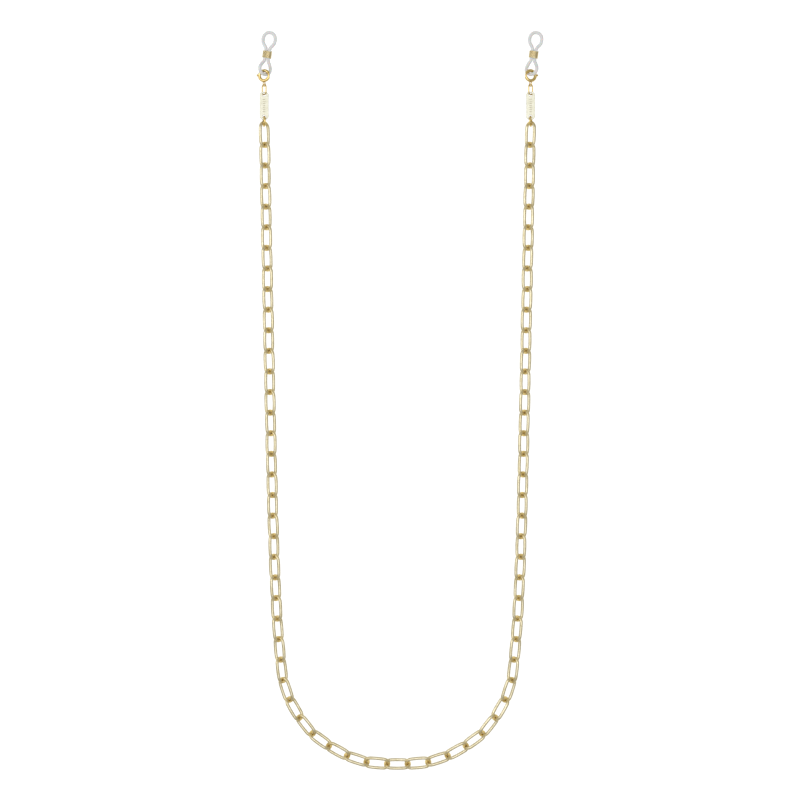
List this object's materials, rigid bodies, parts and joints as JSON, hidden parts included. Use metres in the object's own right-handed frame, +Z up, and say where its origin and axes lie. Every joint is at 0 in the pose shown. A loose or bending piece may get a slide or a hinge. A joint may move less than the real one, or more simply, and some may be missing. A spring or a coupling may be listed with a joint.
{
  "type": "eyeglasses chain strap",
  "caption": "Long cable-link glasses chain with a tag, a spring ring clasp and a silicone temple loop at each end, laid out flat in a U.",
  "frame": {"origin": "midway between the two strands and half way along the layout, on the surface that the chain lies on", "axes": "+Y from the bend of the U towards its two free ends, +X to the right hand strand, +Z up from the surface"},
  "size_m": [0.1347, 0.3466, 0.0064],
  "materials": {
    "chain_gold": "satin",
    "bright_gold": "polished",
    "pale_gold": "satin",
    "spring_steel": "satin",
    "silicone": "satin"
  },
  "bodies": {
    "middle_link": {"middle_link": "chain_gold"},
    "right_link_1": {"right_link_1": "chain_gold"},
    "right_link_2": {"right_link_2": "chain_gold"},
    "right_link_3": {"right_link_3": "chain_gold"},
    "right_link_4": {"right_link_4": "chain_gold"},
    "right_link_5": {"right_link_5": "chain_gold"},
    "right_link_6": {"right_link_6": "chain_gold"},
    "right_link_7": {"right_link_7": "chain_gold"},
    "right_link_8": {"right_link_8": "chain_gold"},
    "right_link_pair_1": {"right_link_pair_1": "chain_gold"},
    "right_link_pair_2": {"right_link_pair_2": "chain_gold"},
    "right_link_pair_3": {"right_link_pair_3": "chain_gold"},
    "right_link_pair_4": {"right_link_pair_4": "chain_gold"},
    "right_link_pair_5": {"right_link_pair_5": "chain_gold"},
    "right_link_pair_6": {"right_link_pair_6": "chain_gold"},
    "right_link_pair_7": {"right_link_pair_7": "chain_gold"},
    "right_link_pair_8": {"right_link_pair_8": "chain_gold"},
    "right_link_pair_9": {"right_link_pair_9": "chain_gold"},
    "right_link_pair_10": {"right_link_pair_10": "chain_gold"},
    "right_link_pair_11": {"right_link_pair_11": "chain_gold"},
    "right_link_pair_12": {"right_link_pair_12": "chain_gold"},
    "right_link_pair_13": {"right_link_pair_13": "chain_gold"},
    "right_lower_ring": {"right_lower_ring": "bright_gold"},
    "right_tag": {"right_tag": "pale_gold"},
    "right_upper_ring": {"right_upper_ring": "bright_gold"},
    "right_clasp": {"right_clasp": "bright_gold", "right_clasp_spring": "spring_steel"},
    "right_clasp_bolt": {"right_clasp_bolt": "bright_gold"},
    "right_temple_loop": {"right_temple_loop": "silicone"},
    "right_slider": {"right_slider": "bright_gold"},
    "left_link_1": {"left_link_1": "chain_gold"},
    "left_link_2": {"left_link_2": "chain_gold"},
    "left_link_3": {"left_link_3": "chain_gold"},
    "left_link_4": {"left_link_4": "chain_gold"},
    "left_link_5": {"left_link_5": "chain_gold"},
    "left_link_6": {"left_link_6": "chain_gold"},
    "left_link_7": {"left_link_7": "chain_gold"},
    "left_link_8": {"left_link_8": "chain_gold"},
    "left_link_pair_1": {"left_link_pair_1": "chain_gold"},
    "left_link_pair_2": {"left_link_pair_2": "chain_gold"},
    "left_link_pair_3": {"left_link_pair_3": "chain_gold"},
    "left_link_pair_4": {"left_link_pair_4": "chain_gold"},
    "left_link_pair_5": {"left_link_pair_5": "chain_gold"},
    "left_link_pair_6": {"left_link_pair_6": "chain_gold"},
    "left_link_pair_7": {"left_link_pair_7": "chain_gold"},
    "left_link_pair_8": {"left_link_pair_8": "chain_gold"},
    "left_link_pair_9": {"left_link_pair_9": "chain_gold"},
    "left_link_pair_10": {"left_link_pair_10": "chain_gold"},
    "left_link_pair_11": {"left_link_pair_11": "chain_gold"},
    "left_link_pair_12": {"left_link_pair_12": "chain_gold"},
    "left_link_pair_13": {"left_link_pair_13": "chain_gold"},
    "left_lower_ring": {"left_lower_ring": "bright_gold"},
    "left_tag": {"left_tag": "pale_gold"},
    "left_upper_ring": {"left_upper_ring": "bright_gold"},
    "left_clasp": {"left_clasp": "bright_gold", "left_clasp_spring": "spring_steel"},
    "left_clasp_bolt": {"left_clasp_bolt": "bright_gold"},
    "left_temple_loop": {"left_temple_loop": "silicone"},
    "left_slider": {"left_slider": "bright_gold"}
  },
  "joints": [
    {"name": "right_link_1_swing", "type": "hinge", "parent": "middle_link", "child": "right_link_1", "pos_m": [0.0056, -0.17057, 0.00298], "axis": [0, -0.5878, 0.809], "range_deg": [-60, 15]},
    {"name": "right_link_2_swing", "type": "hinge", "parent": "right_link_1", "child": "right_link_2", "pos_m": [0.01522, -0.16966, 0.00298], "axis": [0.0783, -0.8954, -0.4384], "range_deg": [-60, 60]},
    {"name": "right_link_5_swing", "type": "hinge", "parent": "right_link_4", "child": "right_link_5", "pos_m": [0.0405, -0.15594, 0.00298], "axis": [-0.3619, 0.4981, -0.788], "range_deg": [-60, 60]},
    {"name": "right_link_8_swing", "type": "hinge", "parent": "right_link_7", "child": "right_link_8", "pos_m": [0.05385, -0.13052, 0.00298], "axis": [0.7286, -0.2367, -0.6428], "range_deg": [-60, 60]},
    {"name": "left_link_1_swing", "type": "hinge", "parent": "middle_link", "child": "left_link_1", "pos_m": [-0.0056, -0.17057, 0.00298], "axis": [0, 0.5878, -0.809], "range_deg": [-60, 15]},
    {"name": "left_link_4_swing", "type": "hinge", "parent": "left_link_3", "child": "left_link_4", "pos_m": [-0.03274, -0.16169, 0.00298], "axis": [-0.4066, -0.7335, -0.5446], "range_deg": [-60, 60]},
    {"name": "right_link_pair_6_swing", "type": "hinge", "parent": "right_link_pair_5", "child": "right_link_pair_6", "pos_m": [0.05916, -0.02601, 0.00298], "axis": [-0.766, 0.0073, 0.6428], "range_deg": [-60, 60]},
    {"name": "left_link_pair_7_swing", "type": "hinge", "parent": "left_link_pair_6", "child": "left_link_pair_7", "pos_m": [-0.05959, -0.00515, 0.00298], "axis": [0.6425, 0.0204, -0.766], "range_deg": [-60, 60]},
    {"name": "left_clasp_bolt_draw", "type": "hinge", "parent": "left_clasp", "child": "left_clasp_bolt", "pos_m": [-0.06249, 0.15212, 0.00255], "axis": [-0.309, 0, 0.9511], "range_deg": [0, 52], "stiffness_Nm_per_rad": 0.002, "springref_deg": -17.19, "deforming": ["left_clasp_spring"]},
    {"name": "left_slider_slide", "type": "slide", "parent": "left_temple_loop", "child": "left_slider", "axis": [0.1392, 0.9903, 0], "range_m": [-0.0004, 0.0004]},
    {"name": "left_temple_loop_swing", "type": "hinge", "parent": "left_clasp", "child": "left_temple_loop", "pos_m": [-0.06216, 0.15442, 0.00255], "axis": [0.9418, -0.1324, 0.309], "range_deg": [-22, 22]},
    {"name": "left_clasp_swing", "type": "hinge", "parent": "left_upper_ring", "child": "left_clasp", "pos_m": [-0.06249, 0.14832, 0.00255], "axis": [0.9511, 0, 0.309], "range_deg": [-30, 30]},
    {"name": "left_upper_ring_swing", "type": "hinge", "parent": "left_tag", "child": "left_upper_ring", "pos_m": [-0.06249, 0.14466, 0.00255], "axis": [0.766, 0, -0.6428], "range_deg": [-25, 25]},
    {"name": "left_tag_swing", "type": "hinge", "parent": "left_lower_ring", "child": "left_tag", "pos_m": [-0.06249, 0.13067, 0.00285], "axis": [0.9703, 0, -0.2419], "range_deg": [-40, 40]},
    {"name": "left_lower_ring_swing", "type": "hinge", "parent": "left_link_pair_13", "child": "left_lower_ring", "pos_m": [-0.06249, 0.13001, 0.00298], "axis": [-0.6426, -0.0168, 0.766], "range_deg": [-30, 30]},
    {"name": "right_clasp_bolt_draw", "type": "hinge", "parent": "right_clasp", "child": "right_clasp_bolt", "pos_m": [0.06249, 0.15212, 0.00255], "axis": [-0.309, 0, -0.9511], "range_deg": [0, 52], "stiffness_Nm_per_rad": 0.002, "springref_deg": -17.19, "deforming": ["right_clasp_spring"]},
    {"name": "right_slider_slide", "type": "slide", "parent": "right_temple_loop", "child": "right_slider", "axis": [0.1392, 0.9903, 0], "range_m": [-0.0004, 0.0004]},
    {"name": "right_temple_loop_swing", "type": "hinge", "parent": "right_clasp", "child": "right_temple_loop", "pos_m": [0.06281, 0.15442, 0.00255], "axis": [0.9418, -0.1324, -0.309], "range_deg": [-22, 22]},
    {"name": "right_clasp_swing", "type": "hinge", "parent": "right_upper_ring", "child": "right_clasp", "pos_m": [0.06249, 0.14832, 0.00255], "axis": [0.9511, 0, -0.309], "range_deg": [-30, 30]},
    {"name": "right_upper_ring_swing", "type": "hinge", "parent": "right_tag", "child": "right_upper_ring", "pos_m": [0.06249, 0.14466, 0.00255], "axis": [0.766, 0, 0.6428], "range_deg": [-25, 25]},
    {"name": "right_tag_swing", "type": "hinge", "parent": "right_lower_ring", "child": "right_tag", "pos_m": [0.06249, 0.13067, 0.00285], "axis": [0.9703, 0, 0.2419], "range_deg": [-40, 40]},
    {"name": "right_lower_ring_swing", "type": "hinge", "parent": "right_link_pair_13", "child": "right_lower_ring", "pos_m": [0.06249, 0.13001, 0.00298], "axis": [-0.6426, 0.0168, -0.766], "range_deg": [-30, 30]},
    {"name": "right_link_3_swing", "type": "hinge", "parent": "right_link_2", "child": "right_link_3", "pos_m": [0.02436, -0.16651, 0.00298], "axis": [-0.1728, 0.5318, -0.829], "range_deg": [-60, 60]},
    {"name": "right_link_4_swing", "type": "hinge", "parent": "right_link_3", "child": "right_link_4", "pos_m": [0.03274, -0.16169, 0.00298], "axis": [-0.4066, 0.7335, 0.5446], "range_deg": [-60, 60]},
    {"name": "right_link_6_swing", "type": "hinge", "parent": "right_link_5", "child": "right_link_6", "pos_m": [0.04628, -0.14818, 0.00298], "axis": [-0.6037, 0.4716, 0.6428], "range_deg": [-60, 60]},
    {"name": "right_link_7_swing", "type": "hinge", "parent": "right_link_6", "child": "right_link_7", "pos_m": [0.05102, -0.13976, 0.00298], "axis": [0.5567, -0.3214, 0.766], "range_deg": [-60, 60]},
    {"name": "right_link_pair_1_swing", "type": "hinge", "parent": "right_link_8", "child": "right_link_pair_1", "pos_m": [0.05488, -0.12091, 0.00298], "axis": [0.638, -0.0783, 0.766], "range_deg": [-60, 60]},
    {"name": "right_link_pair_2_swing", "type": "hinge", "parent": "right_link_pair_1", "child": "right_link_pair_2", "pos_m": [0.05638, -0.10321, 0.00298], "axis": [0.7653, -0.0336, -0.6428], "range_deg": [-60, 60]},
    {"name": "right_link_pair_3_swing", "type": "hinge", "parent": "right_link_pair_2", "child": "right_link_pair_3", "pos_m": [0.05738, -0.08237, 0.00298], "axis": [-0.6419, 0.0336, -0.766], "range_deg": [-60, 60]},
    {"name": "right_link_pair_4_swing", "type": "hinge", "parent": "right_link_pair_3", "child": "right_link_pair_4", "pos_m": [0.05794, -0.06461, 0.00298], "axis": [-0.7653, 0.0336, 0.6428], "range_deg": [-60, 60]},
    {"name": "right_link_pair_5_swing", "type": "hinge", "parent": "right_link_pair_4", "child": "right_link_pair_5", "pos_m": [0.05861, -0.04376, 0.00298], "axis": [-0.6427, 0.0131, -0.766], "range_deg": [-60, 60]},
    {"name": "right_link_pair_7_swing", "type": "hinge", "parent": "right_link_pair_6", "child": "right_link_pair_7", "pos_m": [0.05959, -0.00515, 0.00298], "axis": [0.6425, -0.0204, 0.766], "range_deg": [-60, 60]},
    {"name": "right_link_pair_8_swing", "type": "hinge", "parent": "right_link_pair_7", "child": "right_link_pair_8", "pos_m": [0.05987, 0.01261, 0.00298], "axis": [0.7656, -0.0272, -0.6428], "range_deg": [-60, 60]},
    {"name": "right_link_pair_9_swing", "type": "hinge", "parent": "right_link_pair_8", "child": "right_link_pair_9", "pos_m": [0.06036, 0.03347, 0.00298], "axis": [0.6427, -0.0071, 0.766], "range_deg": [-60, 60]},
    {"name": "right_link_pair_10_swing", "type": "hinge", "parent": "right_link_pair_9", "child": "right_link_pair_10", "pos_m": [0.06085, 0.05123, 0.00298], "axis": [0.766, -0.0056, -0.6428], "range_deg": [-60, 60]},
    {"name": "right_link_pair_11_swing", "type": "hinge", "parent": "right_link_pair_10", "child": "right_link_pair_11", "pos_m": [0.06127, 0.07209, 0.00298], "axis": [-0.6424, 0.021, -0.766], "range_deg": [-60, 60]},
    {"name": "right_link_pair_12_swing", "type": "hinge", "parent": "right_link_pair_11", "child": "right_link_pair_12", "pos_m": [0.06152, 0.08985, 0.00298], "axis": [-0.7656, 0.0263, 0.6428], "range_deg": [-60, 60]},
    {"name": "right_link_pair_13_swing", "type": "hinge", "parent": "right_link_pair_12", "child": "right_link_pair_13", "pos_m": [0.06197, 0.11071, 0.00298], "axis": [-0.6428, 0.0054, -0.766], "range_deg": [-60, 60]},
    {"name": "left_link_2_swing", "type": "hinge", "parent": "left_link_1", "child": "left_link_2", "pos_m": [-0.01522, -0.16966, 0.00298], "axis": [0.0783, 0.8954, 0.4384], "range_deg": [-60, 60]},
    {"name": "left_link_3_swing", "type": "hinge", "parent": "left_link_2", "child": "left_link_3", "pos_m": [-0.02436, -0.16651, 0.00298], "axis": [-0.1728, -0.5318, 0.829], "range_deg": [-60, 60]},
    {"name": "left_link_5_swing", "type": "hinge", "parent": "left_link_4", "child": "left_link_5", "pos_m": [-0.0405, -0.15594, 0.00298], "axis": [-0.3619, -0.4981, 0.788], "range_deg": [-60, 60]},
    {"name": "left_link_6_swing", "type": "hinge", "parent": "left_link_5", "child": "left_link_6", "pos_m": [-0.04628, -0.14818, 0.00298], "axis": [-0.6037, -0.4716, -0.6428], "range_deg": [-60, 60]},
    {"name": "left_link_7_swing", "type": "hinge", "parent": "left_link_6", "child": "left_link_7", "pos_m": [-0.05102, -0.13976, 0.00298], "axis": [0.5567, 0.3214, -0.766], "range_deg": [-60, 60]},
    {"name": "left_link_8_swing", "type": "hinge", "parent": "left_link_7", "child": "left_link_8", "pos_m": [-0.05385, -0.13052, 0.00298], "axis": [0.7286, 0.2367, 0.6428], "range_deg": [-60, 60]},
    {"name": "left_link_pair_1_swing", "type": "hinge", "parent": "left_link_8", "child": "left_link_pair_1", "pos_m": [-0.05488, -0.12091, 0.00298], "axis": [0.638, 0.0783, -0.766], "range_deg": [-60, 60]},
    {"name": "left_link_pair_2_swing", "type": "hinge", "parent": "left_link_pair_1", "child": "left_link_pair_2", "pos_m": [-0.05638, -0.10321, 0.00298], "axis": [0.7653, 0.0336, 0.6428], "range_deg": [-60, 60]},
    {"name": "left_link_pair_3_swing", "type": "hinge", "parent": "left_link_pair_2", "child": "left_link_pair_3", "pos_m": [-0.05738, -0.08237, 0.00298], "axis": [-0.6419, -0.0336, 0.766], "range_deg": [-60, 60]},
    {"name": "left_link_pair_4_swing", "type": "hinge", "parent": "left_link_pair_3", "child": "left_link_pair_4", "pos_m": [-0.05794, -0.06461, 0.00298], "axis": [-0.7653, -0.0336, -0.6428], "range_deg": [-60, 60]},
    {"name": "left_link_pair_5_swing", "type": "hinge", "parent": "left_link_pair_4", "child": "left_link_pair_5", "pos_m": [-0.05861, -0.04376, 0.00298], "axis": [-0.6427, -0.0131, 0.766], "range_deg": [-60, 60]},
    {"name": "left_link_pair_6_swing", "type": "hinge", "parent": "left_link_pair_5", "child": "left_link_pair_6", "pos_m": [-0.05916, -0.02601, 0.00298], "axis": [-0.766, -0.0073, -0.6428], "range_deg": [-60, 60]},
    {"name": "left_link_pair_8_swing", "type": "hinge", "parent": "left_link_pair_7", "child": "left_link_pair_8", "pos_m": [-0.05987, 0.01261, 0.00298], "axis": [0.7656, 0.0272, 0.6428], "range_deg": [-60, 60]},
    {"name": "left_link_pair_9_swing", "type": "hinge", "parent": "left_link_pair_8", "child": "left_link_pair_9", "pos_m": [-0.06036, 0.03347, 0.00298], "axis": [0.6427, 0.0071, -0.766], "range_deg": [-60, 60]},
    {"name": "left_link_pair_10_swing", "type": "hinge", "parent": "left_link_pair_9", "child": "left_link_pair_10", "pos_m": [-0.06085, 0.05123, 0.00298], "axis": [0.766, 0.0056, 0.6428], "range_deg": [-60, 60]},
    {"name": "left_link_pair_11_swing", "type": "hinge", "parent": "left_link_pair_10", "child": "left_link_pair_11", "pos_m": [-0.06127, 0.07209, 0.00298], "axis": [-0.6424, -0.021, 0.766], "range_deg": [-60, 60]},
    {"name": "left_link_pair_12_swing", "type": "hinge", "parent": "left_link_pair_11", "child": "left_link_pair_12", "pos_m": [-0.06152, 0.08985, 0.00298], "axis": [-0.7656, -0.0263, -0.6428], "range_deg": [-60, 60]},
    {"name": "left_link_pair_13_swing", "type": "hinge", "parent": "left_link_pair_12", "child": "left_link_pair_13", "pos_m": [-0.06197, 0.11071, 0.00298], "axis": [-0.6428, -0.0054, 0.766], "range_deg": [-60, 60]}
  ]
}
